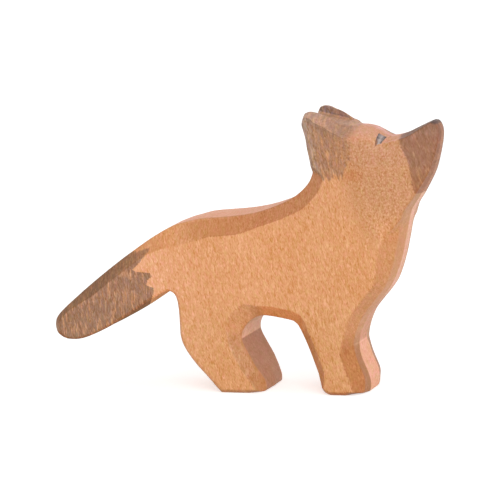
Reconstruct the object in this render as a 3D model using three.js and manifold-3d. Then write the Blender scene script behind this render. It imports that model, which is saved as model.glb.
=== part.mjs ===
// Standing dog with a raised head, sawn and carved from one board of light hardwood.
// Millimetres, +Z up. The dog faces +X, the board's thickness runs along Y, and the soles stand on Z = 0.
import * as THREE from "three";
import { mergeVertices } from "three/addons/utils/BufferGeometryUtils.js";
import Module from "manifold-3d";

const wasm = await Module();
wasm.setup();

// Driving dimensions. Lengths along X start at the hind heel, heights at the floor.
const boardThickness = 24;
const stride = 32.3; // hind heel to front heel
const hindSoleLength = 12;
const foreSoleLength = 9.6;
const hockHeight = 14;
const hockSetback = 11.1; // hock behind the hind heel
const stifleHeight = 16; // deepest point of the arch, in front of the hind leg
const stifleSetback = 6.1; // that point behind the hind toe
const bellyHeight = 20.8; // at the elbow
const elbowSetback = 10.6; // elbow behind the front heel
const crotchHeight = 29.1; // where the tail's underside meets the hind leg
const rumpOverhang = 14.3; // crotch behind the hind heel
const rumpHeight = 47.6;
const rumpAhead = 1; // rump ahead of the crotch
const tailLength = 35.7; // crotch to tail tip
const tailTipHeight = 18.5;
const backHeight = 50.2;
const backAhead = 1.6; // level of the back, ahead of the hind heel
const napeHeight = 62.9;
const napeSetback = 3.6; // nape corner behind the front heel
const chestHeight = 41;
const chestOverhang = 20.5; // chest ahead of the front heel
const creaseHeight = 14; // fold where the front leg leaves the chest
const creaseAhead = 7; // the fold ahead of the front heel
const headLength = 33.7; // nape corner to nose tip
const noseHeight = 76.9;
const muzzleLength = 12.9; // stop to nose tip
const stopHeight = 72.4;
const browHeight = 75.4;
const browSetback = 7.1; // brow behind the stop
const earTipHeight = 80;
const earTipSetback = 1.2; // ear tip behind the nape corner
const headTaper = 20.5; // degrees that each side of the head turns in towards the nose
const earGap = 13.2; // groove between the ears, across the board
const earGapDepth = 1.8; // groove floor below the ear tips
const earGapCorner = 1.1; // radius along the foot of the groove's walls
const paintDepth = 0.25; // how far the eye paint reaches into the wood
const paintClearance = 0.05; // between the eye paint and the wood around it
const outlineStep = 1.5; // longest step along the outline
const edgeSmoothing = 3; // passes that even out the lines of the bevels
const weldDistance = 1e-4; // vertices closer than this are one

const halfBoard = boardThickness / 2;

// Edge finishes: the cut that takes the corner off between the side face and the sawn outline.
// width is taken off the side face, depth off the outline's wall; the middle line of a rounded cut lies
// at the given shares of both. crown is how far the wall's centre line stands proud, and pull is how far
// the side face's edge is drawn back along X, where a toe's bevel runs down to the sole.
function bevel(width, depth, crown = 0, pull = 0) {
  return { width, depth, midWidth: 0.5, midDepth: 0.5, crown, pull };
}
// The same, given by the half width of flat wall that is left, with a rounded cut.
function keel(width, flat, midWidth, midDepth, crown = 0, pull = 0) {
  return { width, depth: halfBoard - flat, midWidth, midDepth, crown, pull };
}
const edges = {
  fine: bevel(0.7, 0.7),
  sole: bevel(0.9, 0.9),
  toeSole: bevel(0.9, 4, 0, 0.5),
  toe: bevel(2.2, 4.4, 0.4),
  shin: bevel(3.1, 2.8),
  arch: bevel(5, 3.2),
  belly: bevel(3.2, 2.4),
  foreRear: bevel(2.5, 2.2),
  foreSole: keel(1.1, 4.4, 0.2, 0.55, 0, 1.8),
  foreToe: keel(4, 4.4, 0.2, 0.55),
  foreFront: keel(3.8, 4.9, 0.15, 0.55),
  crease: keel(2.8, 3.6, 0.18, 0.5),
  lowChest: keel(3, 2.4, 0.2, 0.48),
  chest: keel(4.8, 2.1, 0.2, 0.48),
  throat: keel(1.3, 1.8, 0.4, 0.5),
  muzzleFront: keel(0.8, 1.4, 0.6, 0.74),
  nose: keel(0.7, 1.4, 0.6, 0.74),
  muzzleTop: keel(1.2, 2.2, 0.7, 0.7),
  brow: keel(2.8, 2.4, 0.36, 0.52, 0.2),
  earFront: bevel(2.4, 6),
  earTop: bevel(2.1, 5),
  earTip: bevel(1.2, 4),
  earBack: bevel(1.2, 1.2),
  nape: bevel(4.2, 3.2),
  withers: bevel(3.9, 3.2, 0.2),
  loin: bevel(5, 3.2, 0.3),
  rump: bevel(5.8, 3.4, 0.2),
  tailRoot: bevel(4.4, 3.2),
  tailTop: bevel(3.2, 2.8),
  tailTip: bevel(1.6, 1.6),
};

// Landmarks that the outline hangs on. Each returns a point at an offset from itself, with its edge finish.
function landmark(x, z) {
  const place = (dx, dz, edge) => ({ point: new THREE.Vector2(x + dx, z + dz), edge });
  return Object.assign(place, { x, z });
}
const heel = landmark(0, 0);
const crotch = landmark(-rumpOverhang, crotchHeight);
const tailTip = landmark(crotch.x - tailLength, tailTipHeight);
const rump = landmark(crotch.x + rumpAhead, rumpHeight);
const foreHeel = landmark(stride, 0);
const foreToe = landmark(stride + foreSoleLength, 0);
const hindToe = landmark(hindSoleLength, 0);
const hock = landmark(-hockSetback, hockHeight);
const stifle = landmark(hindSoleLength - stifleSetback, stifleHeight);
const elbow = landmark(stride - elbowSetback, bellyHeight);
const crease = landmark(stride + creaseAhead, creaseHeight);
const chest = landmark(stride + chestOverhang, chestHeight);
const nape = landmark(stride - napeSetback, napeHeight);
const nose = landmark(nape.x + headLength, noseHeight);
const stop = landmark(nose.x - muzzleLength, stopHeight);
const brow = landmark(stop.x - browSetback, browHeight);
const earTip = landmark(nape.x - earTipSetback, earTipHeight);
const back = landmark(backAhead, backHeight);

// Points between two landmarks: a share of the way from one to the other, and a rise to the left of that
// way, as a share of its length. They follow when a landmark moves.
function between(from, to) {
  const along = new THREE.Vector2(to.x - from.x, to.z - from.z);
  const leftward = new THREE.Vector2(-along.y, along.x);
  return (share, rise, edge) => {
    const point = new THREE.Vector2(from.x, from.z).addScaledVector(along, share);
    return { point: point.addScaledVector(leftward, rise), edge };
  };
}
const tailUnder = between(tailTip, crotch);
const thighBack = between(crotch, hock);
const shankBack = between(hock, heel);
const shin = between(hindToe, stifle);
const arch = between(stifle, elbow);
const foreRear = between(elbow, foreHeel);
const foreFront = between(foreToe, crease);
const lowChest = between(crease, chest);
const throat = between(chest, nose);
const bridge = between(nose, stop);
const forehead = between(stop, brow);
const earFront = between(brow, earTip);
const earBack = between(earTip, nape);
const withers = between(nape, back);
const loin = between(back, rump);
const tailTop = between(rump, tailTip);

// The sawn outline, counter-clockwise from the tail tip as seen from the dog's right side.
// Each run is one smooth curve, and the runs meet at the outline's real corners.
const runs = [
  // Underside of the tail
  [
    tailTip(0, 0, edges.tailTip),
    tailTip(0.4, -2, edges.tailTip),
    tailTip(1.7, -3.3, edges.tailTip),
    tailTip(3.8, -3.9, edges.fine),
    tailUnder(0.17, -0.158, edges.fine),
    tailUnder(0.31, -0.152, edges.fine),
    tailUnder(0.55, -0.105, edges.fine),
    tailUnder(0.78, -0.04, edges.fine),
    crotch(-2.2, -0.7, edges.fine),
    crotch(-0.2, 0, edges.fine),
  ],
  // Back of the hind leg
  [
    crotch(-0.2, 0, edges.fine),
    crotch(1.4, -0.9, edges.fine),
    crotch(2.2, -3.2, edges.fine),
    thighBack(0.58, 0.046, edges.fine),
    hock(-0.4, 1.6, edges.fine),
    hock(0.7, -1.3, edges.fine),
    shankBack(0.38, -0.032, edges.fine),
    shankBack(0.71, -0.01, edges.fine),
    heel(-0.8, 0.8, edges.sole),
    heel(0, 0, edges.sole),
  ],
  // Hind sole
  [heel(0, 0, edges.sole), hindToe(-4, 0, edges.sole), hindToe(0, 0, edges.toeSole)],
  // Hind toe, shin, the arch under the belly and the back of the front leg
  [
    hindToe(0, 0, edges.toeSole),
    hindToe(0.3, 0.5, edges.toe),
    hindToe(0.3, 1.8, edges.toe),
    hindToe(-0.2, 3.6, edges.toe),
    shin(0.45, -0.035, edges.shin),
    shin(0.75, 0.005, edges.shin),
    stifle(0.3, -1.8, edges.shin),
    stifle(0, 0, edges.shin),
    stifle(0.6, 1.9, edges.arch),
    arch(0.175, 0.181, edges.arch),
    arch(0.325, 0.237, edges.arch),
    arch(0.47, 0.243, edges.belly),
    arch(0.6, 0.204, edges.belly),
    elbow(-1.3, 0.3, edges.belly),
    elbow(0, 0, edges.belly),
    elbow(1.1, -0.8, edges.belly),
    foreRear(0.2, 0.033, edges.foreRear),
    foreRear(0.43, 0.011, edges.foreRear),
    foreRear(0.7, -0.026, edges.foreRear),
    foreHeel(-2.3, 1.8, edges.fine),
    foreHeel(-1.3, 0.5, edges.sole),
    foreHeel(0, 0, edges.sole),
  ],
  // Front sole
  [foreHeel(0, 0, edges.sole), foreToe(-5, 0, edges.sole), foreToe(0, 0, edges.foreSole)],
  // Front toe and the front of the leg
  [
    foreToe(0, 0, edges.foreSole),
    foreToe(0.4, 0.6, edges.foreToe),
    foreToe(0.6, 2.2, edges.foreToe),
    foreToe(0.4, 4.6, edges.foreFront),
    foreFront(0.68, -0.018, edges.foreFront),
    crease(0.4, -2, edges.foreFront),
    crease(0, 0, edges.crease),
  ],
  // Chest, throat and muzzle
  [
    crease(0, 0, edges.crease),
    crease(0.6, 3, edges.crease),
    lowChest(0.256, 0.034, edges.lowChest),
    lowChest(0.38, 0.012, edges.lowChest),
    lowChest(0.62, -0.041, edges.lowChest),
    lowChest(0.86, -0.03, edges.chest),
    chest(0, 0, edges.chest),
    throat(0.11, 0.004, edges.chest),
    throat(0.232, 0.009, edges.throat),
    throat(0.314, 0.003, edges.throat),
    throat(0.4, -0.026, edges.throat),
    throat(0.61, -0.084, edges.muzzleFront),
    throat(0.8, -0.089, edges.muzzleFront),
    nose(1.9, -3.6, edges.muzzleFront),
    nose(1.5, -1.5, edges.nose),
    nose(0.8, -0.4, edges.nose),
    nose(0, 0, edges.nose),
  ],
  // Bridge of the muzzle
  [
    nose(0, 0, edges.nose),
    nose(-1.2, -0.4, edges.nose),
    bridge(0.45, 0.035, edges.muzzleTop),
    bridge(0.65, 0.051, edges.muzzleTop),
    bridge(0.89, 0.029, edges.muzzleTop),
    stop(0, 0, edges.brow),
  ],
  // Brow and ears
  [
    stop(0, 0, edges.brow),
    forehead(0.16, 0, edges.brow),
    forehead(0.38, -0.045, edges.brow),
    forehead(0.6, -0.075, edges.brow),
    brow(0, 0, edges.brow),
    earFront(0.13, 0.036, edges.brow),
    earFront(0.25, 0.044, edges.earFront),
    earFront(0.37, 0.026, edges.earFront),
    earFront(0.475, -0.006, edges.earFront),
    earFront(0.64, -0.02, edges.earTop),
    earFront(0.745, -0.027, edges.earTop),
    earTip(2.1, -0.2, edges.earTip),
    earTip(0.4, 0, edges.earTip),
    earTip(-0.7, -0.4, edges.earTip),
    earTip(-1.3, -1.6, edges.earTip),
    earTip(-1, -3.4, edges.earBack),
    earBack(0.42, -0.028, edges.earBack),
    earBack(0.58, -0.02, edges.earBack),
    earBack(0.88, 0.012, edges.earBack),
    nape(0, 0, edges.nape),
  ],
  // Nape, back and the top of the tail
  [
    nape(0, 0, edges.nape),
    nape(-0.8, -2, edges.nape),
    nape(-2, -3.7, edges.nape),
    withers(0.24, 0.123, edges.nape),
    withers(0.4, 0.131, edges.withers),
    withers(0.66, 0.103, edges.withers),
    withers(0.86, 0.052, edges.loin),
    loin(0.26, -0.019, edges.loin),
    loin(0.53, -0.039, edges.rump),
    loin(0.78, -0.022, edges.rump),
    rump(0, 0, edges.rump),
    tailTop(0.118, -0.023, edges.tailRoot),
    tailTop(0.244, -0.036, edges.tailTop),
    tailTop(0.452, -0.048, edges.tailTop),
    tailTop(0.667, -0.052, edges.tailTop),
    tailTop(0.85, -0.045, edges.tailTip),
    tailTip(1.5, 3.5, edges.tailTip),
    tailTip(0.3, 1.8, edges.tailTip),
    tailTip(0, 0, edges.tailTip),
  ],
];

// Points along one run, with the edge finish blended from landmark to landmark. The last point is the
// first of the next run, so it is left out.
function sampleRun(run) {
  const corners = run.map(({ point }) => new THREE.Vector3(point.x, point.y, 0));
  const curve = new THREE.CatmullRomCurve3(corners);
  const samples = [];
  for (let i = 0; i + 1 < run.length; i++) {
    const steps = Math.ceil(run[i].point.distanceTo(run[i + 1].point) / outlineStep);
    for (let k = 0; k < steps; k++) {
      const share = k / steps;
      const edge = {};
      for (const key of Object.keys(run[i].edge))
        edge[key] = THREE.MathUtils.lerp(run[i].edge[key], run[i + 1].edge[key], share);
      const { x, y } = curve.getPoint((i + share) / (run.length - 1));
      samples.push({ point: new THREE.Vector2(x, y), edge });
    }
  }
  return samples;
}

// The carved board: seven rings along the outline, from the right side face to the left one, and the
// two flat faces.
function carvedBoard() {
  const outline = runs.flatMap(sampleRun);
  const count = outline.length;
  const beside = (i, step) => (i + step + count) % count;
  let inward = outline.map((sample, i) => {
    const along = outline[beside(i, 1)].point.clone().sub(outline[beside(i, -1)].point);
    return new THREE.Vector2(-along.y, along.x).normalize();
  });
  for (let pass = 0; pass < edgeSmoothing; pass++)
    inward = inward.map((normal, i) =>
      normal.clone().multiplyScalar(2).add(inward[beside(i, 1)]).add(inward[beside(i, -1)]).normalize(),
    );
  const ring = (inset, pull, across) =>
    outline.map(({ point, edge }, i) => {
      const p = point.clone().addScaledVector(inward[i], inset(edge));
      return new THREE.Vector3(p.x - pull(edge), across(edge), p.y);
    });
  const none = () => 0;
  const side = (sign) => [
    ring((e) => e.width, (e) => e.pull, () => sign * halfBoard),
    ring(
      (e) => e.width * e.midWidth,
      (e) => e.pull * e.midWidth,
      (e) => sign * (halfBoard - e.depth * e.midDepth),
    ),
    ring(none, none, (e) => sign * (halfBoard - e.depth)),
  ];
  const ridge = ring((e) => -e.crown, none, none);
  const rings = [...side(-1), ridge, ...side(1).reverse()];
  const faces = [];
  for (let r = 0; r + 1 < rings.length; r++)
    for (let i = 0; i < count; i++) {
      const j = (i + 1) % count;
      const a = r * count + i;
      const b = r * count + j;
      faces.push(a, b + count, b, a, a + count, b + count);
    }
  const last = (rings.length - 1) * count;
  const flat = rings[0].map((p) => new THREE.Vector2(p.x, p.z));
  for (const [a, b, c] of THREE.ShapeUtils.triangulateShape(flat, []))
    faces.push(a, b, c, last + c, last + b, last + a);
  const geometry = new THREE.BufferGeometry().setFromPoints(rings.flat());
  geometry.setIndex(faces);
  return geometry;
}

// Closed mesh to solid, and back
function solidOf(geometry) {
  const bare = geometry.clone();
  bare.deleteAttribute("normal");
  bare.deleteAttribute("uv");
  const merged = mergeVertices(bare, weldDistance);
  return new wasm.Manifold(
    new wasm.Mesh({
      numProp: 3,
      vertProperties: new Float32Array(merged.attributes.position.array),
      triVerts: new Uint32Array(merged.index.array),
    }),
  );
}
function geometryOf(solid) {
  const mesh = solid.getMesh();
  const geometry = new THREE.BufferGeometry();
  geometry.setAttribute("position", new THREE.BufferAttribute(mesh.vertProperties, 3));
  geometry.setIndex(new THREE.BufferAttribute(mesh.triVerts, 1));
  geometry.computeVertexNormals();
  return geometry;
}

// A cutter larger than the dog, filling the space on the side of a plane that its normal points to.
// The plane passes through a point of the outline's plane, at a place across the board.
const reach = 4 * (tailLength + stride + headLength);
function halfSpace(point, across, normal) {
  const box = new THREE.BoxGeometry(reach, reach, reach).translate(0, 0, reach / 2);
  const up = new THREE.Vector3(0, 0, 1);
  const turn = new THREE.Quaternion().setFromUnitVectors(up, normal.clone().normalize());
  return solidOf(box.applyQuaternion(turn).translate(point.x, across, point.y));
}
// A cutter whose outline lies in the XZ plane, between two places across the board
function prism(points, fromY, toY) {
  const shape = new THREE.Shape(points.map(([x, z]) => new THREE.Vector2(x, z)));
  const block = new THREE.ExtrudeGeometry(shape, { depth: toY - fromY, bevelEnabled: false });
  return solidOf(block.rotateX(Math.PI / 2).translate(0, toY, 0));
}

// Sides of the head: a flat facet each, turning in from a line in front of the ears down to the chest
const facetTop = brow(-3, -2.4).point;
const facetFoot = chest(-6.5, 8).point;
function headFacet(side) {
  const along = facetFoot.clone().sub(facetTop).normalize();
  const forward = new THREE.Vector2(-along.y, along.x);
  const angle = THREE.MathUtils.degToRad(headTaper);
  const normal = new THREE.Vector3(
    forward.x * Math.sin(angle),
    side * Math.cos(angle),
    forward.y * Math.sin(angle),
  );
  return halfSpace(facetTop, side * halfBoard, normal);
}

// Groove between the ears: flat floor with rounded corners, running out on the forehead
const grooveFront = earTip(9.5, -4.3).point;
const grooveRear = earTip(-1.5, -earGapDepth).point;
function earGroove() {
  const half = earGap / 2;
  const top = earTipHeight;
  const shape = new THREE.Shape();
  shape.moveTo(-half, top);
  shape.lineTo(-half, earGapCorner);
  shape.absarc(-half + earGapCorner, earGapCorner, earGapCorner, Math.PI, 1.5 * Math.PI);
  shape.absarc(half - earGapCorner, earGapCorner, earGapCorner, -0.5 * Math.PI, 0);
  shape.lineTo(half, top);
  const options = { depth: headLength, bevelEnabled: false, curveSegments: 4 };
  const trough = new THREE.ExtrudeGeometry(shape, options);
  const slope = Math.atan2(grooveRear.y - grooveFront.y, grooveFront.x - grooveRear.x);
  trough.rotateX(Math.PI / 2).rotateZ(-Math.PI / 2).rotateY(slope);
  return solidOf(trough.translate(grooveFront.x, 0, grooveFront.y));
}

// Where the finish changes: planes and a block that part the stained wood from the bare wood
const earFoot = 0.7; // the ears' stain ends this far below the nape corner
const far = earTipHeight * 2;
const earHollow = brow(-1.8, -3).point;
const earCrest = brow(0.6, 2.2).point;
const earBlock = [
  [nape.x - headLength, nape.z - earFoot],
  [earHollow.x, nape.z - earFoot],
  [earHollow.x, earHollow.y],
  [earCrest.x, earCrest.y],
  [earCrest.x, far],
  [nape.x - headLength, far],
];
const muzzleLine = { point: stop(5.2, 1).point, tilt: new THREE.Vector3(15.9, 0, 5.2) };
const tailLine = { point: crotch(-6.6, 4).point, tilt: new THREE.Vector3(-1, 0, 0) };

// Eyes: a slanted four-cornered mark below the brow, in a pocket that is larger by the clearance
const eyeMiddle = forehead(0.152, 0.107).point;
const eyeInnerEnd = 3.8; // the mark's inner end, from the middle of the board
const eyeLength = 5.3; // across the board
const eyeWidth = 1.8; // along the dog
const eyeDrop = 1.6; // the mark's lowest point below its middle
// Its corners seen from above, as shares of its width and length from its middle
const eyeCorners = [
  [-0.45, -0.5],
  [0.55, -0.5],
  [0.45, 0.3],
  [-0.35, 0.5],
];
function eyeCutter(side, grow) {
  const middle = eyeInnerEnd + eyeLength / 2;
  const corners = eyeCorners.map(([along, across]) => {
    const x = eyeMiddle.x + along * (eyeWidth + 2 * grow);
    const y = side * (middle + across * (eyeLength + 2 * grow));
    return new THREE.Vector2(x, y);
  });
  const block = new THREE.ExtrudeGeometry(new THREE.Shape(corners), { depth: far, bevelEnabled: false });
  const depth = paintDepth + grow;
  const core = solidOf(geometryOf(wood).translate(0, -side * depth, -depth));
  return solidOf(block.translate(0, 0, eyeMiddle.y - eyeDrop - grow)).subtract(core);
}

// Cut the board, then part it by finish
let wood = solidOf(carvedBoard());
for (const side of [-1, 1]) wood = wood.subtract(headFacet(side));
wood = wood.subtract(earGroove());

const rightEye = wood.intersect(eyeCutter(-1, 0));
const leftEye = wood.intersect(eyeCutter(1, 0));
const pockets = eyeCutter(-1, paintClearance).add(eyeCutter(1, paintClearance));
wood = wood.subtract(pockets);

function part(cutter) {
  const piece = wood.intersect(cutter);
  wood = wood.subtract(cutter);
  return piece;
}
const ears = part(prism(earBlock, -boardThickness, boardThickness));
const muzzle = part(halfSpace(muzzleLine.point, 0, muzzleLine.tilt));
const tailBrush = part(halfSpace(tailLine.point, 0, tailLine.tilt));
const leftHalf = halfSpace(heel(0, 0).point, 0, new THREE.Vector3(0, 1, 0));

// Finishes
const bareWood = new THREE.MeshStandardMaterial({ color: 0xdfa06f, roughness: 0.62, metalness: 0 });
const stainedWood = new THREE.MeshStandardMaterial({ color: 0xa77a60, roughness: 0.66, metalness: 0 });
const eyePaint = new THREE.MeshStandardMaterial({ color: 0x62666e, roughness: 0.5, metalness: 0 });

const dog = new THREE.Group();
function add(name, solid, material) {
  const mesh = new THREE.Mesh(geometryOf(solid), material);
  mesh.name = name;
  dog.add(mesh);
}
add("carved_body", wood, bareWood);
add("tail_brush", tailBrush, stainedWood);
add("right_ear", ears.subtract(leftHalf), stainedWood);
add("left_ear", ears.intersect(leftHalf), stainedWood);
add("muzzle", muzzle, stainedWood);
add("right_eye", rightEye, eyePaint);
add("left_eye", leftEye, eyePaint);

// The origin is on the floor under the middle of the dog's length
const box = new THREE.Box3().setFromObject(dog);
for (const mesh of dog.children) mesh.position.x = -(box.min.x + box.max.x) / 2;

export default dog;
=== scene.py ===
"""Standing dog carved from one board of oiled hardwood, with brushed stain and painted eyes."""

import math
from collections import namedtuple
from functools import reduce

import bmesh
import bpy
from mathutils import Matrix, Vector, noise
from mathutils.bvhtree import BVHTree


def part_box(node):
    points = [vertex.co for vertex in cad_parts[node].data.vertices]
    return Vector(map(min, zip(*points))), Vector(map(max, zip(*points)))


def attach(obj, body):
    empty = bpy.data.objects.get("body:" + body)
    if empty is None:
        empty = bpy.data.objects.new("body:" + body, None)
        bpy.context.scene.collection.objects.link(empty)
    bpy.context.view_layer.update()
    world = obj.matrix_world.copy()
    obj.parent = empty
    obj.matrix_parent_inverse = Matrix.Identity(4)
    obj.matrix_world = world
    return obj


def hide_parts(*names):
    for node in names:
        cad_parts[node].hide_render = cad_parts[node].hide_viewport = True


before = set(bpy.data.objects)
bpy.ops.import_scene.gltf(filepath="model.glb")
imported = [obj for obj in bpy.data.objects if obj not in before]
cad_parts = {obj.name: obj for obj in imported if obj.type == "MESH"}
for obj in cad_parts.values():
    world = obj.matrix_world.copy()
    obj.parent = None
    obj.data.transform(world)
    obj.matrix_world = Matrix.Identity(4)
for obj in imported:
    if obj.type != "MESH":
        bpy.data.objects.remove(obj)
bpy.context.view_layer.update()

MM = 0.001

# The wood's surface: size of its faces, rounding of its edges, and from which angle an edge is shaded sharp
FACE_SIZE = 0.34 * MM
SMOOTHING = 0.5
ROUNDING_PASSES = 4
SHARP_ANGLE = math.radians(55)
# The carver's slight unevenness: length and size of its waves, and the height over which it sets in
WAVES = [(13 * MM, 0.07 * MM), (5 * MM, 0.03 * MM)]
SOLE_ZONE = 2.5 * MM

# Edges that are sanded soft (mm). The head's side facet: a line in the XZ plane, how far to both sides,
# from which height, how squarely the wood there faces across the board, and passes of smoothing.
SOFT_LINE = ((32.3, 73), (39.2, 49))
SOFT_REACH = 3.5
SOFT_LOWEST = 40
SOFT_FACING = 0.85
SOFT_PASSES = 80
# Other zones: from and to along the dog, in height, and in how squarely the wood faces across the board
SoftZone = namedtuple("SoftZone", "along heights facing passes")
BROW_EDGES = SoftZone((33, 47.5), (66.5, 80), (0.2, 0.998), 80)
HIND_LEG_EDGES = SoftZone((-12, 9), (1.5, 25), (0.8, 0.998), 16)
FRONT_LEG_AND_CHEST_EDGES = SoftZone((24, 46), (1.5, 52), (0.8, 0.998), 60)
SOFT_ZONES = [BROW_EDGES, HIND_LEG_EDGES, FRONT_LEG_AND_CHEST_EDGES]

# Flat cuts where the finish changes, as outlines in the XZ plane (mm), the same as in the CAD model
FAR = 90
TAIL_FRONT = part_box("tail_brush")[1].x / MM
TAIL_CUT = [(-FAR, -FAR), (TAIL_FRONT, -FAR), (TAIL_FRONT, FAR), (-FAR, FAR)]
MUZZLE_TOP = (41.0, 93.43)
MUZZLE_FOOT = (60.6, 33.5)
MUZZLE_CUT = [MUZZLE_FOOT, (FAR, MUZZLE_FOOT[1]), (FAR, MUZZLE_TOP[1]), MUZZLE_TOP]
EAR_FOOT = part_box("right_ear")[0].z / MM
EAR_FRONT_LOW = (33.45, 72.4)
EAR_FRONT_HIGH = (35.85, 77.6)
EAR_CUT = [(-FAR, EAR_FOOT), (EAR_FRONT_LOW[0], EAR_FOOT), EAR_FRONT_LOW, EAR_FRONT_HIGH,
           (EAR_FRONT_HIGH[0], FAR), (-FAR, FAR)]
# A place across the board that lies outside the wood (mm)
BEYOND = 20

# Photograph's view: direction to the camera, roll and distance, and the point in the picture's middle
VIEW_AZIMUTH = 18.5
VIEW_ELEVATION = 9.0
VIEW_ROLL = math.radians(2.246)
VIEW_DISTANCE = 1.0
VIEW_TARGET = Vector((-0.65, 0, 39.32)) * MM
LENS = 252.5
SENSOR = 36
CLIP_START = 0.01


# Meshes

def link(name, data):
    obj = bpy.data.objects.new(name, data)
    bpy.context.scene.collection.objects.link(obj)
    return obj


def mesh_of(bm, name):
    mesh = bpy.data.meshes.new(name)
    bm.to_mesh(mesh)
    bm.free()
    return mesh


def applied(obj):
    """The object's mesh with its modifiers applied."""
    bpy.context.view_layer.update()
    shown = obj.evaluated_get(bpy.context.evaluated_depsgraph_get())
    return bpy.data.meshes.new_from_object(shown)


def discard(obj):
    mesh = obj.data
    bpy.data.objects.remove(obj)
    bpy.data.meshes.remove(mesh)


def clamped(value):
    return min(1, max(0, value))


def wood_skin():
    """One closed skin over all the CAD nodes, with rounded edges and a hand-carved unevenness."""
    bm = bmesh.new()
    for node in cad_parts.values():
        bm.from_mesh(node.data)
    block = link("block", mesh_of(bm, "rough"))
    remesh = block.modifiers.new("remesh", "REMESH")
    remesh.mode = "VOXEL"
    remesh.voxel_size = FACE_SIZE
    smooth = block.modifiers.new("smooth", "SMOOTH")
    smooth.factor = SMOOTHING
    smooth.iterations = ROUNDING_PASSES
    skin = applied(block)
    discard(block)
    soften(skin)
    normals = [v.normal.copy() for v in skin.vertices]
    for vertex, normal in zip(skin.vertices, normals):
        lift = sum(size * noise.noise(vertex.co / length) for length, size in WAVES)
        vertex.co += normal * lift * clamped(vertex.co.z / SOLE_ZONE)
    return link("skin", skin)


def soften(mesh):
    """Evens out the edges that are sanded soft."""
    start, end = (Vector(point) for point in SOFT_LINE)
    along = (end - start).normalized()
    bm = bmesh.new()
    bm.from_mesh(mesh)
    facet = []
    picked = [[] for _ in SOFT_ZONES]
    for vertex in bm.verts:
        x, _, z = vertex.co / MM
        across = abs(vertex.normal.y)
        aside = abs((Vector((x, z)) - start).cross(along))
        if aside < SOFT_REACH and across > SOFT_FACING and z > SOFT_LOWEST:
            facet.append(vertex)
        for vertices, zone in zip(picked, SOFT_ZONES):
            if within(x, zone.along) and within(z, zone.heights) and within(across, zone.facing):
                vertices.append(vertex)
    even(bm, facet, SOFT_PASSES)
    for vertices, zone in zip(picked, SOFT_ZONES):
        even(bm, vertices, zone.passes)
    bm.to_mesh(mesh)
    bm.free()


def within(value, span):
    return span[0] < value < span[1]


def even(bm, vertices, passes):
    axes = {"use_axis_x": True, "use_axis_y": True, "use_axis_z": True}
    for _ in range(passes):
        bmesh.ops.smooth_vert(bm, verts=vertices, factor=SMOOTHING, **axes)


def prism(outline, low, high):
    """A closed block over an outline in the XZ plane, between two places across the board, in mm."""
    bm = bmesh.new()
    near = [bm.verts.new(Vector((x, low, z)) * MM) for x, z in outline]
    face = bm.faces.new(near)
    swept = bmesh.ops.extrude_face_region(bm, geom=[face])["geom"]
    moved = [v for v in swept if isinstance(v, bmesh.types.BMVert)]
    bmesh.ops.translate(bm, verts=moved, vec=(0, (high - low) * MM, 0))
    bmesh.ops.recalc_face_normals(bm, faces=bm.faces)
    return link("cutter", mesh_of(bm, "cutter"))


def cut(skin, cutters, operation):
    """The skin's mesh after a boolean with each cutter in turn."""
    whole = link("whole", skin.data.copy())
    for cutter in cutters:
        boolean = whole.modifiers.new("cut", "BOOLEAN")
        boolean.operation = operation
        boolean.solver = "MANIFOLD"
        boolean.object = cutter
    mesh = applied(whole)
    discard(whole)
    return mesh


def piece(name, mesh, node):
    mesh.shade_smooth()
    mesh.set_sharp_from_angle(angle=SHARP_ANGLE)
    obj = link(name, mesh)
    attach(obj, "root")
    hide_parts(node)
    return obj


def wood_pieces(skin):
    """The skin, cut where the finish changes as the CAD nodes are."""
    tail = prism(TAIL_CUT, -BEYOND, BEYOND)
    right_ear = prism(EAR_CUT, -BEYOND, 0)
    left_ear = prism(EAR_CUT, 0, BEYOND)
    muzzle = prism(MUZZLE_CUT, -BEYOND, BEYOND)
    ears = prism(EAR_CUT, -BEYOND, BEYOND)
    stained = [
        ("tail_wood", "tail_brush", tail),
        ("right_ear_wood", "right_ear", right_ear),
        ("left_ear_wood", "left_ear", left_ear),
        ("muzzle_wood", "muzzle", muzzle),
    ]
    pieces = []
    for name, node, cutter in stained:
        pieces.append(piece(name, cut(skin, [cutter], "INTERSECT"), node))
    bare = cut(skin, [tail, ears, muzzle], "DIFFERENCE")
    pieces.append(piece("body_wood", bare, "carved_body"))
    for cutter in (tail, right_ear, left_ear, muzzle, ears):
        discard(cutter)
    return pieces


# Materials

# A noise: cell size along the dog, across the board and up it (mm), a shift that keeps it apart from the
# others, the share of its height by which it leans back, and Blender's settings of a noise
Pattern = namedtuple("Pattern", "cells shift lean detail roughness distortion", defaults=(0, 1, 0.5, 0))


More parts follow.
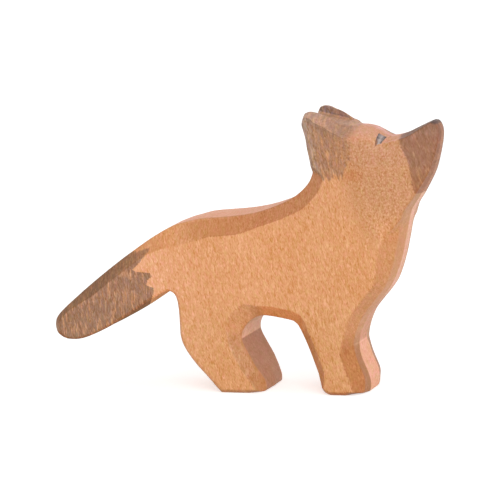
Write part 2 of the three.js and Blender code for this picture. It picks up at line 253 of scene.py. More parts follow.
class Graph:
    """A node tree that is written as expressions."""

    def __init__(self, tree):
        self.tree = tree
        tree.nodes.clear()

    def node(self, kind, inputs=(), **settings):
        node = self.tree.nodes.new("ShaderNode" + kind)
        for key, value in settings.items():
            setattr(node, key, value)
        for key, value in dict(inputs).items():
            self.plug(node.inputs[key], value)
        return node

    def plug(self, socket, value):
        if isinstance(value, bpy.types.NodeSocket):
            self.tree.links.new(value, socket)
        else:
            socket.default_value = value

    def math(self, operation, a, b=0.0, clamp=False):
        return self.node("Math", {0: a, 1: b}, operation=operation, use_clamp=clamp).outputs[0]

    def add(self, a, b):
        return self.math("ADD", a, b)

    def minus(self, a, b):
        return self.math("SUBTRACT", a, b)

    def times(self, a, b):
        return self.math("MULTIPLY", a, b)

    def least(self, a, b):
        return self.math("MINIMUM", a, b)

    def most(self, a, b):
        return self.math("MAXIMUM", a, b)

    def absolute(self, a):
        return self.math("ABSOLUTE", a)

    def total(self, *values):
        return reduce(self.add, values)

    def product(self, *values):
        return reduce(self.times, values)

    def outside(self, mask):
        return self.minus(1, mask)

    def step(self, value, low, high, out_low=0.0, out_high=1.0):
        """A soft step from one output to the other as the value goes from low to high."""
        inputs = {"Value": value, "From Min": low, "From Max": high, "To Min": out_low, "To Max": out_high}
        return self.node("MapRange", inputs, interpolation_type="SMOOTHSTEP").outputs["Result"]

    def curve(self, value, points):
        """Straight lines through given points, each a value and the output there."""
        places, outputs = zip(*points)
        first, last = places[0], places[-1]
        low, high = min(outputs), max(outputs)
        share = self.node("MapRange", {"Value": value, "From Min": first, "From Max": last}).outputs[0]
        node = self.node("FloatCurve", {"Value": share})
        line = node.mapping.curves[0]
        for _ in points[2:]:
            line.points.new(0.5, 0.5)
        for knot, (place, output) in zip(line.points, points):
            knot.location = ((place - first) / (last - first), (output - low) / (high - low))
            knot.handle_type = "VECTOR"
        node.mapping.update()
        return self.add(self.times(node.outputs[0], high - low), low)

    def millimetres(self, coords):
        """The place on the object, in mm."""
        scale = {0: coords.outputs["Object"], "Scale": 1 / MM}
        return self.node("VectorMath", scale, operation="SCALE").outputs[0]

    def noise(self, place, pattern):
        cells = {"Vector": place, "Scale": [1 / size for size in pattern.cells],
                 "Location": [pattern.shift] * 3}
        inputs = {"Vector": self.node("Mapping", cells).outputs[0], "Scale": 1.0, "Detail": pattern.detail,
                  "Roughness": pattern.roughness, "Distortion": pattern.distortion}
        return self.node("TexNoise", inputs).outputs["Fac"]

    def mix(self, factor, a, b, blend="MIX"):
        node = self.node("Mix", data_type="RGBA", blend_type=blend)
        self.plug(node.inputs[0], factor)
        self.plug(node.inputs[6], a)
        self.plug(node.inputs[7], b)
        return node.outputs[2]

    def tint(self, factor, colour, by):
        return self.mix(factor, colour, (*by, 1), "MULTIPLY")


def new_material(name):
    material = bpy.data.materials.new(name)
    material.use_nodes = True
    return material


# Bare wood, in linear colours: its flecks, and tints that they are multiplied by
LIGHT_FLECK = (0.835, 0.4275, 0.222, 1)
DARK_FLECK = (0.565, 0.207, 0.044, 1)
PORE_TINT = (0.8, 0.7, 0.55)
PINK_TINT = (1.04, 0.97, 1.12)
YELLOW_TINT = (0.96, 1.03, 0.88)
REAR_TINT = (1.09, 1.13, 1.32)
FRONT_TINT = (0.96, 0.96, 0.93)
LEG_TINT = (0.955, 0.98, 0.945)
HIGH_TINT = (0.985, 1, 1.07)

# Bevels
BEVEL_TINT = (0.72, 0.58, 0.46)
BACK_EDGE_TINT = (0.85, 0.81, 0.67)
TAIL_ROOT_TINT = (0.97, 0.93, 0.75)
SHADE_TINT = (0.77, 0.79, 0.79)
FORE_TINT = (0.93, 0.85, 0.63)
FORE_INNER_TINT = (0.6, 0.6, 0.82)
UNDERSIDE_TINT = (1.1, 1.05, 1)
BELLY_TINT = (1.26, 1.18, 1)

# Sawn walls: painted sheen, painted shade low on the hind leg, and painted highlights on the chest, above
# the hind leg's fold and along the front leg's crease
WALL_SHEEN_TINT = (1.2, 1.21, 1.64)
BACK_TOP_TINT = (0.98, 0.92, 0.82)
SHIN_TINT = (1.08, 1.11, 1.18)
CHEST_WALL_TINT = (0.85, 0.81, 0.75)
CHEST_HIGHLIGHT_TINT = (1.06, 1.16, 1.33)
HIND_WALL_SHADE_TINT = (0.61, 0.59, 0.47)
HIND_TOP_HIGHLIGHT_TINT = (1.1, 1.39, 1.52)
CREASE_HIGHLIGHT_TINT = (1.12, 1.22, 1.35)

# Head
# The brow's painted highlight
BROW_HIGHLIGHT_TINT = (0.97, 1, 1.36)
FACET_TINT = (0.79, 0.79, 0.775)
UPPER_TINT = (0.93, 0.91, 0.98)
NECK_TINT = (0.93, 0.8, 0.66)

# Stain: its tint, how thickly it lies, how much the grain shows in it, and how much its strokes are worn
Stain = namedtuple("Stain", "tint cover grain strokes")
TAIL_STAIN = Stain((0.39, 0.41, 0.47), 0.97, 1, 0.46)
EAR_STAIN = Stain((0.5, 0.525, 0.66), 0.84, 1.3, 0.35)
MUZZLE_STAIN = Stain((0.525, 0.46, 0.445), 1, 0.7, 0.32)
TAIL_TOP_STROKES = 0.25
# The tail's top: darker by stain and painted shade
TAIL_TOP_STAIN_AND_SHADE_TINT = (0.8, 0.81, 0.76)
# The ears' tops: painted sheen
EAR_TOP_SHEEN_TINT = (1.3, 1.4, 1.63)
EAR_EDGE_TINT = (0.74, 0.78, 0.84)
EAR_BAND_TINT = (0.76, 0.78, 0.82)
EAR_REAR_TINT = (1.04, 1.2, 1.43)
EAR_TIP_TINT = (0.92, 1, 1.06)
GROOVE_TINT = (0.8, 0.84, 1.05)
MUZZLE_FOOT_TINT = (1.04, 0.9, 0.67)
MUZZLE_HIGH_TINT = (0.9, 0.97, 1.15)
MUZZLE_EDGE_TINT = (1.11, 1.05, 1.08)
MUZZLE_TOP_TINT = (0.75, 0.85, 0.98)
NOSE_TINT = (0.45, 0.48, 0.62)

# The wood's noises
FLECK_LEAN = 0.18
MUZZLE_STROKE_LEAN = 0.4
RIBBONS = Pattern((0.48, 1.1, 1.7), 0, FLECK_LEAN, 2, 0.55, 1.2)
SPECKLES = Pattern((0.5, 0.8, 0.6), 71, 0, 1.5, 0.6, 0.4)
FIBRES = Pattern((0.3, 0.7, 0.7), 31, FLECK_LEAN)
BROAD_STREAKS = Pattern((0.75, 4, 2.8), 57, FLECK_LEAN)
CLOUDS = Pattern((11, 18, 16), 83, detail=2)
PORES = Pattern((0.6, 0.8, 0.9), 131, FLECK_LEAN, distortion=0.4)
HUES = Pattern((0.9, 2.4, 1.8), 101, FLECK_LEAN)
RAGGED = Pattern((0.7, 5, 0.7), 11, detail=2, roughness=0.6)
FRINGE = Pattern((0.55, 5, 3.2), 17, FLECK_LEAN)
TAIL_STROKES = Pattern((0.42, 1.6, 2.8), 43)
EAR_STROKES = Pattern((0.6, 4, 5), 29, FLECK_LEAN)
MUZZLE_STROKES = Pattern((0.6, 4, 2.6), 19, MUZZLE_STROKE_LEAN)

# Ranges of those noises, from where they begin to count to where they count fully
LIGHT_RANGE = (0.5, 0.72)
DARK_RANGE = (0.5, 0.3)
PORE_RANGE = (0.68, 0.78)
PINK_RANGE = (0.5, 0.75)
YELLOW_RANGE = (0.5, 0.25)
TAIL_STROKE_RANGE = (0.52, 0.72)
EAR_STROKE_RANGE = (0.5, 0.72)
MUZZLE_STROKE_RANGE = (0.5, 0.75)

# How much each noise lightens or darkens the bare wood, how much of the head's flecks are speckles, and how
# strongly the grain shows on the head and on edges, when it is 1 on the sides
LIGHT_WEIGHT = 0.5
DARK_WEIGHT = -0.38
FIBRE_WEIGHT = 0.9
STREAK_WEIGHT = 0.25
CLOUD_WEIGHT = 0.4
SPECKLE_SHARE = 0.8
HEAD_GRAIN = 1.25
EDGE_GRAIN = 0.5

# How strongly a surface takes the bevels' tint, by how squarely it faces across the board, and how much the
# flecks break up its edges
BEVEL_SHARE = [(0, 0), (0.06, 0), (0.12, 0.5), (0.3, 0.6), (0.5, 0.9), (0.8, 0.9), (0.92, 1), (0.965, 0.3),
               (0.99, 0), (1, 0)]
BEVEL_BREAKS = 0.1
# How dark the bevels are along the dog (mm): on its back, then below, and how much they are shaded below
BACK_BEVEL = [(-60, 0.3), (-18, 0.25), (-11, 0.54), (-4, 0.78), (4, 1), (12, 1), (20, 0.88), (28, 0.85),
              (35, 0.3), (60, 0.3)]
LOW_BEVEL = [(-60, 0.5), (-24, 0.5), (-20, 0.15), (-6, 0.1), (2, 0.22), (6, 0.9), (14, 0.9), (22, 0.6),
             (26, 0.8), (60, 0.8)]
LOW_SHADE = [(-60, 0), (-22, 0), (-18, 0.2), (-8, 0.6), (-4, 1), (3, 1), (7, 0.3), (60, 0.3)]
# How much less dark they are on the chest and on the hind foot, and how much shade is left higher up
CHEST_BEVEL_LOSS = 0.55
HIND_FOOT_BEVEL_LOSS = 0.8
HIGH_SHADE = 0.3

# Edges of the stain, in mm. Tail: the height and how far forward the stain reaches there, on the sides.
TAIL_EDGE = [(20, -28), (26.3, -27.6), (27.2, -27.4), (28.7, -26.6), (30, -26.3), (30.4, -27.8),
             (30.9, -28.6), (32.2, -28.1), (33.2, -26.9), (34.3, -27.2), (34.6, -31.6), (35.1, -32.5),
             (36.7, -30.9), (39, -28.6), (40.6, -27.2), (44, -27.2)]
# On the tail's top: the place along the dog and how far from the middle of the board the stain begins
TAIL_TOP_EDGE = [(-41, -3), (-37, 0), (-33.8, 8.7), (-31.3, 10.1), (-29.5, 10.5), (-26, 11)]
# Under the tail: how much farther back it begins in the middle of the board, and how much more than that for
# each mm to the left
TAIL_UNDER_BACK = 3.7
TAIL_UNDER_SLANT = 0.37
# Ears: the place along the dog and the stain's lowest height, then the height and how far forward it goes
EAR_LOW_EDGE = [(16, 62.8), (23.1, 63.5), (23.8, 62.3), (25, 62.3), (25.7, 60.7), (26.5, 62.1), (27.4, 61.1),
                (28.7, 62.6), (29.5, 62.3), (30.2, 61.5), (30.7, 62.6), (31.2, 60.8), (31.8, 64),
                (32.5, 65), (32.9, 66.1), (33.9, 67), (36, 67)]
EAR_FRONT_EDGE = [(60, 33.6), (67, 33.9), (68.9, 33.2), (70.8, 33.5), (73, 32.4), (74.5, 32.8), (76, 33.6),
                  (80, 34.5)]
# Muzzle: the height and where the stain begins
MUZZLE_EDGE = [(54, 55.4), (56.3, 51.7), (57, 50.4), (59.5, 49.8), (62.8, 49.5), (66.5, 48.6), (68.9, 47.4),
               (72.1, 46.3), (73.5, 46), (78, 46)]
# How softly those edges end: most of them, the ears' lower edge, their front edge on the sides and on the
# front, and the muzzle's edge high up
EDGE_SOFTNESS = 0.25
FRINGE_SOFTNESS = 0.6
EAR_SIDE_SOFTNESS = 0.8
EAR_FRONT_SOFTNESS = 1.6
MUZZLE_HIGH_SOFTNESS = 0.8
# How far they are ragged, how many times that at the ears' front, and how far the ears' foot is fringed
RAGGED_REACH = 0.9
EAR_FRONT_RAGGED = 2.2
FRINGE_REACH = 3.4

# How dark the tail's top is along the dog (mm), by stain and painted shade
TAIL_TOP_SHADE = [(-60, 1), (-54, 0.9), (-42, 1), (-35, 0.25), (-27, 0)]
# The ear's rear outline, as the height and the place along the dog, and the lower edge of its top face, as
# the place along the dog and the height
EAR_REAR = [(62, 23.6), (65.8, 22.6), (69.7, 21.7), (74.5, 20.8), (80, 20.3)]
EAR_RIDGE = [(19, 81), (21, 79.7), (23, 77.8), (25.6, 75.7), (29.3, 74.1), (32, 72.7), (35, 71)]

# How the grain thins the stain: by broad streaks and by dark flecks, which cover a share of the wood
STREAK_WEAR = 0.9
DARK_WEAR = 0.2
DARK_SHARE = 0.2
# How much more is worn off in two patches of the tail's side, at its top's front, and at the ears' front
TAIL_HIGH_WEAR = 0.3
TAIL_LOW_WEAR = 0.13
TAIL_ROOT_WEAR = 0.25
EAR_FRONT_WEAR = 0.22

# Round patches seen from the side (mm): the middle along the dog and in height, the reach in both, and the
# shares of that reach at which the patch begins and at which it is full
Patch = namedtuple("Patch", "x z reach_x reach_z begins full")
NECK_PATCH = Patch(34.3, 62.6, 3, 1.9, 1.7, 0.7)
TAIL_HIGH_PATCH = Patch(-34.5, 33.8, 3, 1.6, 1, 0.2)
TAIL_LOW_PATCH = Patch(-35, 27.5, 6, 3.5, 1.1, 0.3)
NOSE_PATCH = Patch(56, 77.1, 2, 1.5, 1, 0.6)
# How much the clouds of colour draw in the neck's patch
NECK_CLOUDS = 0.8

# The head's side: the direction forwards across its soft line, and how grey it is low down
AHEAD_X = 0.96
AHEAD_Z = 0.28
LOW_GREY = 0.65

# The oiled surface: relief, roughness of dark and light flecks, and gloss, which the tail lacks underneath
FLECK_RELIEF = 0.6
FIBRE_RELIEF = 0.4
RELIEF_STRENGTH = 0.35
RELIEF_DEPTH = 0.06 * MM
ROUGH_DARK = 0.56
ROUGH_LIGHT = 0.46
OIL_IOR = 1.45
GLOSS = 0.5


class Wood(Graph):
    """The wood's colour, tint over tint, by place (mm) and by facing (-1 to 1)."""

    def __init__(self, tree):
        super().__init__(tree)
        coords = self.node("TexCoord")
        self.place = self.millimetres(coords)
        self.x, self.y, self.z = self.node("SeparateXYZ", {0: self.place}).outputs
        normal = {0: coords.outputs["Normal"]}
        self.forward, sideways, self.up = self.node("SeparateXYZ", normal).outputs
        self.across = self.absolute(sideways)
        self.off_middle = self.absolute(self.y)
        line_x, line_z = SOFT_LINE[0]
        from_line_x = self.times(self.add(self.x, -line_x), AHEAD_X)
        from_line_z = self.times(self.add(self.z, -line_z), AHEAD_Z)
        self.ahead = self.add(from_line_x, from_line_z)
        self.leaning = {0: self.place}

    def pattern(self, pattern):
        """One of the noises, around 0.5."""
        if pattern.lean not in self.leaning:
            back = self.add(self.x, self.times(self.z, pattern.lean))
            leant = self.node("CombineXYZ", {0: back, 1: self.y, 2: self.z}).outputs[0]
            self.leaning[pattern.lean] = leant
        return self.noise(self.leaning[pattern.lean], pattern)

    def centred(self, value, weight):
        """A noise around 0 instead of 0.5, weighted."""
        return self.times(self.add(value, -0.5), weight)

    def zone(self, **ranges):
        """A soft mask. Each pair of values is a step from 0 at the first to 1 at the second, and a mask
        is the product of its steps."""
        steps = []
        for measure, values in ranges.items():
            for zero, one in zip(values[::2], values[1::2]):
                steps.append(self.step(getattr(self, measure), zero, one))
        return self.product(*steps)

    def patch(self, patch, drawn_in=0.0):
        """A soft mask over a round patch."""
        middle = (patch.x, 0, patch.z)
        shares = (1 / patch.reach_x, 0, 1 / patch.reach_z)
        offset = self.node("VectorMath", {0: self.place, 1: middle}, operation="SUBTRACT").outputs[0]
        flat = self.node("VectorMath", {0: offset, 1: shares}, operation="MULTIPLY").outputs[0]
        apart = self.node("VectorMath", {0: flat}, operation="LENGTH").outputs["Value"]
        return self.step(self.add(apart, drawn_in), patch.begins, patch.full)

    def paint(self, tint, *masks):
        """Multiplies the colour by a tint where all the masks are 1."""
        self.colour = self.tint(self.product(*masks), self.colour, tint)

    def grain(self):
        """Ray flecks: short ribbons along the grain, which runs upwards with a slight lean, and speckles, of
        which the head's side has most. Fibres, pores and slow changes of colour."""
        self.facet = self.zone(ahead=(-7.5, 0.5), z=(38, 48))
        speckled = self.product(self.facet, self.zone(ahead=(14, 13)))
        ribbons = self.pattern(RIBBONS)
        speckles = self.minus(self.pattern(SPECKLES), ribbons)
        self.flecks = self.add(ribbons, self.product(speckled, SPECKLE_SHARE, speckles))
        self.fibres = self.pattern(FIBRES)
        self.streaks = self.pattern(BROAD_STREAKS)
        self.clouds = self.pattern(CLOUDS)
        light = self.step(self.flecks, *LIGHT_RANGE)
        self.dark = self.step(self.flecks, *DARK_RANGE)
        tone = self.total(
            self.times(light, LIGHT_WEIGHT),
            self.times(self.dark, DARK_WEIGHT),
            self.centred(self.fibres, FIBRE_WEIGHT),
            self.centred(self.streaks, STREAK_WEIGHT),
        )
        on_edges = self.step(self.across, 0.2, 0.9, EDGE_GRAIN, 1)
        on_head = self.step(speckled, 0, 1, 1, HEAD_GRAIN)
        tone = self.add(self.product(tone, on_edges, on_head), self.centred(self.clouds, CLOUD_WEIGHT))
        self.colour = self.mix(self.math("ADD", tone, 0.5, clamp=True), DARK_FLECK, LIGHT_FLECK)
        self.paint(PORE_TINT, self.step(self.pattern(PORES), *PORE_RANGE))
        hues = self.pattern(HUES)
        self.paint(PINK_TINT, self.step(hues, *PINK_RANGE))
        self.paint(YELLOW_TINT, self.step(hues, *YELLOW_RANGE))
        self.paint(REAR_TINT, self.zone(x=(-6, -28)))
        self.paint(FRONT_TINT, self.zone(x=(5, 28)))
        self.paint(LEG_TINT, self.zone(z=(30, 18), across=(0.9, 0.97)))
        self.paint(HIGH_TINT, self.zone(z=(46, 54), ahead=(0, -3)))

    def inside(self, depth, edge, softness=EDGE_SOFTNESS):
        """A mask of what lies inside an uneven edge, by how deep inside it lies."""
        return self.step(self.add(depth, edge), self.times(softness, -1), softness)

    def stained_places(self):
        """Where the stain lies, with ragged brushed edges."""
        ragged = self.centred(self.pattern(RAGGED), RAGGED_REACH)
        fringe = self.centred(self.pattern(FRINGE), FRINGE_REACH)

        turned_down = self.zone(up=(0.1, -0.1))
        farther_back = self.add(self.times(self.y, TAIL_UNDER_SLANT), TAIL_UNDER_BACK)
        side = self.minus(self.curve(self.z, TAIL_EDGE), self.x)
        side = self.minus(side, self.times(turned_down, farther_back))
        top = self.minus(self.off_middle, self.curve(self.x, TAIL_TOP_EDGE))
        top = self.add(top, self.times(turned_down, FAR))
        self.tail = self.inside(self.least(side, top), ragged)

        above = self.minus(self.z, self.curve(self.x, EAR_LOW_EDGE))
        behind = self.minus(self.curve(self.z, EAR_FRONT_EDGE), self.x)
        softness = self.step(self.across, 0.65, 0.9, EAR_FRONT_SOFTNESS, EAR_SIDE_SOFTNESS)
        self.ears = self.times(
            self.inside(above, fringe, FRINGE_SOFTNESS),
            self.inside(behind, self.times(ragged, EAR_FRONT_RAGGED), softness),
        )

        softness = self.step(self.z, 69, 72, EDGE_SOFTNESS, MUZZLE_HIGH_SOFTNESS)
        before = self.minus(self.x, self.curve(self.z, MUZZLE_EDGE))
        self.muzzle = self.inside(before, ragged, softness)
        self.bare_head = self.outside(self.most(self.ears, self.muzzle))

    def bevels(self):
        """Knife-cut bevels are darker than the sides, by how much differs from place to place; low down they
        also get painted shade.
        """
        above = self.zone(z=(42, 46))
        below = self.outside(above)
        chest = self.zone(x=(24, 27), z=(13, 18))
        tail_underside = self.zone(x=(-20, -24), up=(0.3, -0.1))
        hind_foot = self.zone(x=(9, 7), z=(14, 9))
        low = self.product(
            self.curve(self.x, LOW_BEVEL),
            self.outside(self.times(chest, CHEST_BEVEL_LOSS)),
            self.outside(tail_underside),
            self.outside(self.times(hind_foot, HIND_FOOT_BEVEL_LOSS)),
        )
        depth = self.add(self.times(self.curve(self.x, BACK_BEVEL), above), self.times(low, below))
        head_front = self.zone(x=(30, 33), z=(62, 66))
        self.broken = self.add(self.across, self.centred(self.flecks, BEVEL_BREAKS))
        bevel = self.curve(self.broken, BEVEL_SHARE)
        self.paint(BEVEL_TINT, bevel, depth, self.outside(head_front), self.bare_head)
        back_edge = self.zone(broken=(0.985, 0.95, 0.8, 0.9), x=(-20, -16, 4, -4))
        self.paint(BACK_EDGE_TINT, back_edge, above)
        self.paint(TAIL_ROOT_TINT, bevel, self.zone(x=(-18, -22), up=(0.1, 0.3)))
        shade = self.times(self.curve(self.x, LOW_SHADE), self.step(self.z, 19, 15, HIGH_SHADE, 1))
        # Painted shade on the low bevels, most low down between the legs
        self.paint(SHADE_TINT, bevel, below, shade)
        fore = self.times(self.zone(x=(25, 28), z=(20, 11)), bevel)
        self.paint(FORE_TINT, fore)
        self.paint(FORE_INNER_TINT, fore, self.zone(across=(0.45, 0.3)))
        self.underside = self.zone(x=(-14, -17), up=(-0.15, -0.45))
        self.paint(UNDERSIDE_TINT, self.underside)
        self.paint(BELLY_TINT, bevel, below, self.zone(x=(4, 7, 20, 16), z=(17, 19)))

    def walls(self):
        """Painted sheen on sawn walls that face forwards or up, and painted shade low on the hind leg."""
        self.wall = self.zone(across=(0.12, 0.05))
        lit = self.step(self.add(self.forward, self.up), -0.1, 0.4)
        # Painted sheen: walls that face forwards or up made paler and bluer
        self.paint(WALL_SHEEN_TINT, self.wall, lit, self.bare_head)
        # Less of that painted sheen on the back's top and on the front leg above the crease, more below it
        self.paint(BACK_TOP_TINT, self.wall, self.zone(up=(0.5, 0.8), z=(60, 55)))
        self.paint(SHIN_TINT, self.wall, self.zone(x=(30, 32), z=(13.9, 13.2)))
        self.paint(CHEST_WALL_TINT, self.wall, self.zone(x=(30, 32), z=(13.9, 15, 30, 24)))
        # Painted highlight: the pale strip on the chest's front
        self.paint(CHEST_HIGHLIGHT_TINT, self.wall, self.zone(z=(26, 31), forward=(0.3, 0.5)), self.bare_head)
        hind = self.times(self.wall, self.zone(x=(9, 7), forward=(0.3, 0.5)))
        # Painted shade low on the hind leg's inner wall, under the belly and behind the front leg
        self.paint(HIND_WALL_SHADE_TINT, hind, self.zone(z=(15.5, 15)))
        # Painted light on that wall above the fold, where the belly shades it
        self.paint(HIND_TOP_HIGHLIGHT_TINT, hind, self.zone(z=(15.1, 15.6)))
        # Painted highlight along the crease at the front leg
        self.paint(CREASE_HIGHLIGHT_TINT, self.zone(z=(13.55, 13.8, 14.35, 14.1), x=(29, 30), across=(0.5, 0.3)))

    def head(self):
        """The brow's painted highlight, the greyer side of the head, and one darker patch of the neck."""
        brow = self.zone(x=(32, 35, 49, 46), z=(68, 71), across=(0.95, 0.5))
        plain = self.outside(self.most(brow, self.wall))
        flat_or_high = self.most(self.zone(across=(0.94, 0.98)), self.zone(z=(45, 53)))
        # Painted highlight on the brow
        self.paint(BROW_HIGHLIGHT_TINT, brow)
        self.paint(FACET_TINT, self.facet, self.step(self.z, 46, 60, LOW_GREY, 1), flat_or_high, plain)
        self.paint(UPPER_TINT, self.zone(ahead=(-2, 1), z=(63.5, 66)), plain)
        self.paint(NECK_TINT, self.patch(NECK_PATCH, drawn_in=self.times(self.clouds, NECK_CLOUDS)))

    def brush(self, stain, where, worn):
        """Lays a stain on, thinner where it is worn and where the grain takes less of it."""
        streaks = self.centred(self.streaks, STREAK_WEAR)
        taken = self.add(streaks, self.times(self.add(self.dark, -DARK_SHARE), DARK_WEAR))
        left = self.minus(self.times(taken, stain.grain), worn)
        self.paint(stain.tint, where, self.math("ADD", left, stain.cover, clamp=True))

    def tail_stain(self):
        """Worn off in strokes, in two patches of the side and at the front of the tail's top, which is
        darkened by stain and painted shade.
        """
        top = self.zone(across=(0.99, 0.88), up=(0.1, 0.3))
        strokes = self.step(self.pattern(TAIL_STROKES), *TAIL_STROKE_RANGE)
        worn = self.total(
            self.times(strokes, self.step(top, 0, 1, TAIL_STAIN.strokes, TAIL_TOP_STROKES)),
            self.times(self.patch(TAIL_HIGH_PATCH), TAIL_HIGH_WEAR),
            self.times(self.patch(TAIL_LOW_PATCH), TAIL_LOW_WEAR),
            self.product(top, self.zone(x=(-36, -29)), TAIL_ROOT_WEAR),
        )
        self.brush(TAIL_STAIN, self.tail, worn)
        # Stain and painted shade on the tail's top
        self.paint(TAIL_TOP_STAIN_AND_SHADE_TINT, self.tail, top, self.curve(self.x, TAIL_TOP_SHADE))

    def ear_stain(self):
        """Worn off in long strokes on the ears' sides, paler on top by a painted sheen, darker along the
        edges.
        """
        top = self.zone(across=(0.8, 0.6), up=(0.2, 0.5))
        side = self.outside(top)
        strokes = self.step(self.pattern(EAR_STROKES), *EAR_STROKE_RANGE)
        worn = self.add(
            self.times(strokes, EAR_STAIN.strokes),
            self.times(self.zone(x=(27.5, 32)), EAR_FRONT_WEAR),
        )
        self.brush(EAR_STAIN, self.ears, self.times(worn, side))
        # Painted sheen on the ears' tops
        self.paint(EAR_TOP_SHEEN_TINT, self.ears, top)
        self.paint(EAR_EDGE_TINT, self.ears, self.zone(across=(0.97, 0.93, 0.74, 0.84), up=(0.1, 0.3)))
        self.below_ridge = self.minus(self.curve(self.x, EAR_RIDGE), self.z)
        band = self.zone(below_ridge=(2.4, 0.8, -0.6, 0), x=(32, 26), across=(0.88, 0.95))
        self.paint(EAR_BAND_TINT, self.ears, band)
        self.from_rear = self.minus(self.x, self.curve(self.z, EAR_REAR))
        rear = self.zone(from_rear=(2.2, 0.8), off_middle=(8.5, 9.5))
        self.paint(EAR_REAR_TINT, self.ears, side, rear)
        self.paint(EAR_TIP_TINT, self.ears, self.zone(x=(27, 22)))
        self.paint(GROOVE_TINT, self.ears, self.zone(off_middle=(7.6, 7), across=(0.5, 0.8)))

    def muzzle_stain(self):
        """Worn off in short slanting strokes, with a dark nose."""
        strokes = self.step(self.pattern(MUZZLE_STROKES), *MUZZLE_STROKE_RANGE)
        self.brush(MUZZLE_STAIN, self.muzzle, self.times(strokes, MUZZLE_STAIN.strokes))
        self.paint(MUZZLE_FOOT_TINT, self.muzzle, self.zone(z=(65, 57)))
        self.paint(MUZZLE_HIGH_TINT, self.muzzle, self.zone(z=(71, 75)))
        self.paint(MUZZLE_EDGE_TINT, self.muzzle, self.zone(across=(0.75, 0.5)))
        self.paint(MUZZLE_TOP_TINT, self.muzzle, self.zone(up=(0.5, 0.8)))
        self.paint(NOSE_TINT, self.muzzle, self.patch(NOSE_PATCH))

    def surface(self):
        """The oiled surface in that colour, with a fine relief."""
        height = self.add(self.times(self.flecks, FLECK_RELIEF), self.times(self.fibres, FIBRE_RELIEF))
        relief = {"Height": height, "Strength": RELIEF_STRENGTH, "Distance": RELIEF_DEPTH}
        shader = self.node("BsdfPrincipled", {
            "Base Color": self.colour,
            "Roughness": self.step(self.flecks, 0.2, 0.8, ROUGH_DARK, ROUGH_LIGHT),
            "Normal": self.node("Bump", relief).outputs[0],
            "IOR": OIL_IOR,
            "Specular IOR Level": self.step(self.underside, 0, 1, GLOSS, 0),
        })
        self.node("OutputMaterial", {"Surface": shader.outputs[0]})


def wood_material():
    material = new_material("oiled_wood")
    wood = Wood(material.node_tree)
    wood.grain()
    wood.stained_places()
    wood.bevels()
    wood.walls()
    wood.head()
    wood.tail_stain()
    wood.ear_stain()
    wood.muzzle_stain()
    wood.surface()
    return material


# Eyes

# Brush marks seen from above (mm): place along the dog and distance from the middle of the board.
# Inner rear, inner front, outer front and outer rear corner.
EYE_CORNERS = [(39.8, 3.63), (42.06, 3.52), (41.69, 7.89), (40.1, 9.3)]
EYE_STEPS = 28
# How ragged their outline is (mm), and the waves of that in each mm
EYE_RAGGED = 0.1
EYE_WAVES = 3
# The paint's thickness above and below the wood, its share at the very edge, and how fast that grows inwards
PAINT_PROUD = 0.06 * MM
PAINT_SUNK = 0.12 * MM
PAINT_EDGE = 0.25
PAINT_RISE = 8

# The paint, in linear colours
PAINT_DARK = Vector((0.11, 0.072, 0.065))
PAINT_PALE = Vector((0.5, 0.4, 0.37))
PAINT_BROWN = Vector((0.3, 0.12, 0.05))
PAINT_STROKE_TINT = (0.72, 0.72, 0.75)
PAINT_STROKES = Pattern((0.2, 0.2, 0.6), 0, detail=2, roughness=0.6)
# Where the mark is pale and where it is dark: at its rear and its front, as shares of the way forwards, and
# at its inner end, as shares of the way outwards. The dark front thins out towards the outer end.
PAINT_REAR = (0.45, 0.09)
PAINT_FRONT = (0.48, 0.82)
PAINT_FRONT_LOSS = 0.6
PAINT_INNER = (0.105, -0.045)
# How far from its outer rear corner the mark has no brown and is all brown
PAINT_CORNER = (0.459, 0.189)
# The paint's unevenness, and that noise's waves forwards and outwards, and its third coordinate
PAINT_UNEVEN = 0.45
PAINT_WAVES = (4, 5, 7)
# The strokes that count, and the paint's surface
PAINT_STROKE_RANGE = (0.4, 0.7)
PAINT_ROUGHNESS = 0.5
PAINT_RELIEF_STRENGTH = 0.3
PAINT_RELIEF_DEPTH = 0.04 * MM


def ramp(value, ends):
    """0 at the first end and 1 at the second, in a straight line that goes on beyond them."""
    return (value - ends[0]) / (ends[1] - ends[0])


def paint_colour(u, v):
    """The brush mark's colour: dark rear and front edges, a pale stripe between, brown at its outer rear."""
    front = ramp(u, PAINT_FRONT) * (1 - PAINT_FRONT_LOSS * v)
    dark = max(ramp(u, PAINT_REAR), front, ramp(v, PAINT_INNER), 0)
    forwards, outwards, third = PAINT_WAVES
    uneven = PAINT_UNEVEN * noise.noise(Vector((u * forwards, v * outwards, third)))
    colour = PAINT_PALE.lerp(PAINT_DARK, clamped(dark + uneven))
    return colour.lerp(PAINT_BROWN, clamped(ramp(math.hypot(u, 1 - v), PAINT_CORNER)))


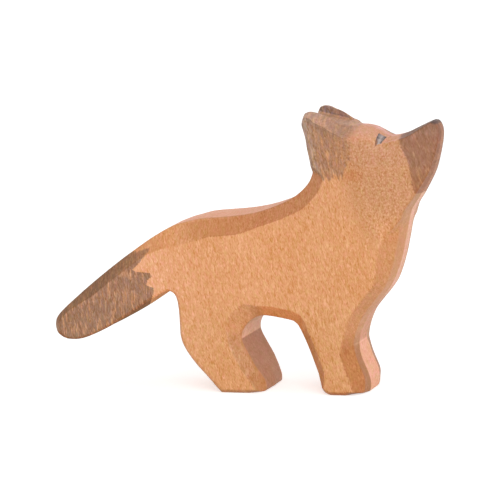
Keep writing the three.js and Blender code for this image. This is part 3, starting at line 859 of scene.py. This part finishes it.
def eye_mesh(skin, side):
    """A thin closed film of paint that follows the wood, four-cornered with brushed edges."""
    tree = BVHTree.FromObject(skin, bpy.context.evaluated_depsgraph_get())
    inner_rear, inner_front, outer_front, outer_rear = (Vector(corner) for corner in EYE_CORNERS)
    shares = [step / EYE_STEPS for step in range(EYE_STEPS + 1)]
    bm = bmesh.new()
    colours = []

    def dot(u, v, lift):
        """A corner of the film's faces, a lift above the wood."""
        spot = inner_rear.lerp(outer_rear, v).lerp(inner_front.lerp(outer_front, v), u)
        ragged = EYE_RAGGED * noise.noise(Vector((spot.x * EYE_WAVES, spot.y * EYE_WAVES, side)))
        start = Vector((spot.x + ragged, side * (spot.y + ragged), FAR)) * MM
        place, normal, _, _ = tree.ray_cast(start, Vector((0, 0, -1)))
        colours.append(paint_colour(u, v))
        return bm.verts.new(place + normal * lift)

    def proud(u, v):
        return PAINT_PROUD * min(1, PAINT_EDGE + min(u, 1 - u, v, 1 - v) * PAINT_RISE)

    top = [[dot(u, v, proud(u, v)) for v in shares] for u in shares]
    foot = [[dot(u, v, -PAINT_SUNK) for v in shares] for u in shares]
    close_film(bm, top, foot)
    mesh = mesh_of(bm, "eye")
    attribute = mesh.attributes.new("paint", "FLOAT_COLOR", "POINT")
    for entry, colour in zip(attribute.data, colours):
        entry.color = (*colour, 1)
    return mesh


def close_film(bm, top, foot):
    """Faces on both grids of vertices, and round their border."""
    steps = range(EYE_STEPS)
    last = EYE_STEPS
    for grid in (top, foot):
        for i in steps:
            for j in steps:
                bm.faces.new([grid[i][j], grid[i + 1][j], grid[i + 1][j + 1], grid[i][j + 1]])
    border = [(i, 0) for i in steps] + [(last, j) for j in steps]
    border += [(last - i, last) for i in steps] + [(0, last - j) for j in steps]
    for (i, j), (k, m) in zip(border, border[1:] + border[:1]):
        bm.faces.new([top[i][j], top[k][m], foot[k][m], foot[i][j]])
    bmesh.ops.recalc_face_normals(bm, faces=bm.faces)


def paint_material():
    material = new_material("eye_paint")
    g = Graph(material.node_tree)
    strokes = g.noise(g.millimetres(g.node("TexCoord")), PAINT_STROKES)
    paint = g.node("Attribute", attribute_name="paint").outputs["Color"]
    colour = g.tint(g.step(strokes, *PAINT_STROKE_RANGE), paint, PAINT_STROKE_TINT)
    relief = {"Height": strokes, "Strength": PAINT_RELIEF_STRENGTH, "Distance": PAINT_RELIEF_DEPTH}
    bump = g.node("Bump", relief).outputs[0]
    shader = g.node("BsdfPrincipled", {"Base Color": colour, "Roughness": PAINT_ROUGHNESS, "Normal": bump})
    g.node("OutputMaterial", {"Surface": shader.outputs[0]})
    return material


# Studio: white floor and surroundings, one soft lamp, and the photograph's view

WHITE = (1, 1, 1, 1)
WORLD_LIGHT = 0.72
FLOOR_SIZE = 8
FLOOR_COLOUR = (0.82, 0.82, 0.82, 1)
FLOOR_GLOW = 0.55
# Lamp: direction in degrees, distance and size in metres, and power in watts
LAMP_AZIMUTH = 30
LAMP_ELEVATION = 20
LAMP_DISTANCE = 1.3
LAMP_SIZE = 0.9
LAMP_POWER = 7.6


def seen_by_eye(g):
    """1 for rays from the camera, from gloss and through glass, and 0 for the light that falls on things."""
    path = g.node("LightPath").outputs
    return g.most(g.most(path["Is Camera Ray"], path["Is Glossy Ray"]), path["Is Transmission Ray"])


def surroundings():
    world = bpy.data.worlds.new("studio")
    world.use_nodes = True
    bpy.context.scene.world = world
    g = Graph(world.node_tree)
    strength = g.step(seen_by_eye(g), 0, 1, WORLD_LIGHT, 1)
    background = g.node("Background", {"Color": WHITE, "Strength": strength})
    g.node("OutputWorld", {"Surface": background.outputs[0]})


def white_floor():
    half = FLOOR_SIZE / 2
    corners = [(-half, -half, 0), (half, -half, 0), (half, half, 0), (-half, half, 0)]
    mesh = bpy.data.meshes.new("floor")
    mesh.from_pydata(corners, [], [(0, 1, 2, 3)])
    floor = link("floor", mesh)
    material = new_material("white_floor")
    g = Graph(material.node_tree)
    paint = g.node("BsdfDiffuse", {"Color": FLOOR_COLOUR})
    glow = g.node("Emission", {"Strength": g.times(seen_by_eye(g), FLOOR_GLOW)})
    both = g.node("AddShader", {0: paint.outputs[0], 1: glow.outputs[0]})
    g.node("OutputMaterial", {"Surface": both.outputs[0]})
    mesh.materials.append(material)


def direction(azimuth, elevation):
    """From the dog outwards, in degrees. Azimuth 0 is its right side, and 90 its front."""
    a, e = math.radians(azimuth), math.radians(elevation)
    return Vector((math.sin(a) * math.cos(e), -math.cos(a) * math.cos(e), math.sin(e)))


def lamp():
    light = bpy.data.lights.new("key", "AREA")
    light.shape = "DISK"
    light.size = LAMP_SIZE
    light.energy = LAMP_POWER
    obj = link("key", light)
    back = direction(LAMP_AZIMUTH, LAMP_ELEVATION)
    obj.location = VIEW_TARGET + back * LAMP_DISTANCE
    obj.rotation_euler = back.to_track_quat("Z", "Y").to_euler()


def camera():
    back = direction(VIEW_AZIMUTH, VIEW_ELEVATION)
    level = direction(VIEW_AZIMUTH + 90, 0)
    upright = back.cross(level)
    right = level * math.cos(VIEW_ROLL) - upright * math.sin(VIEW_ROLL)
    up = level * math.sin(VIEW_ROLL) + upright * math.cos(VIEW_ROLL)
    lens = bpy.data.cameras.new("camera")
    lens.lens = LENS
    lens.sensor_width = SENSOR
    lens.clip_start = CLIP_START
    obj = link("camera", lens)
    turn = Matrix((right, up, back)).transposed().to_4x4()
    obj.matrix_world = Matrix.Translation(VIEW_TARGET + back * VIEW_DISTANCE) @ turn
    bpy.context.scene.camera = obj


skin = wood_skin()
wood = wood_material()
for part in wood_pieces(skin):
    part.data.materials.clear()
    part.data.materials.append(wood)
paint = paint_material()
for name, side in (("right_eye", -1), ("left_eye", 1)):
    eye = piece(name + "_paint", eye_mesh(skin, side), name)
    eye.data.materials.append(paint)
discard(skin)

surroundings()
white_floor()
lamp()
camera()
bpy.context.scene.view_settings.view_transform = "Standard"
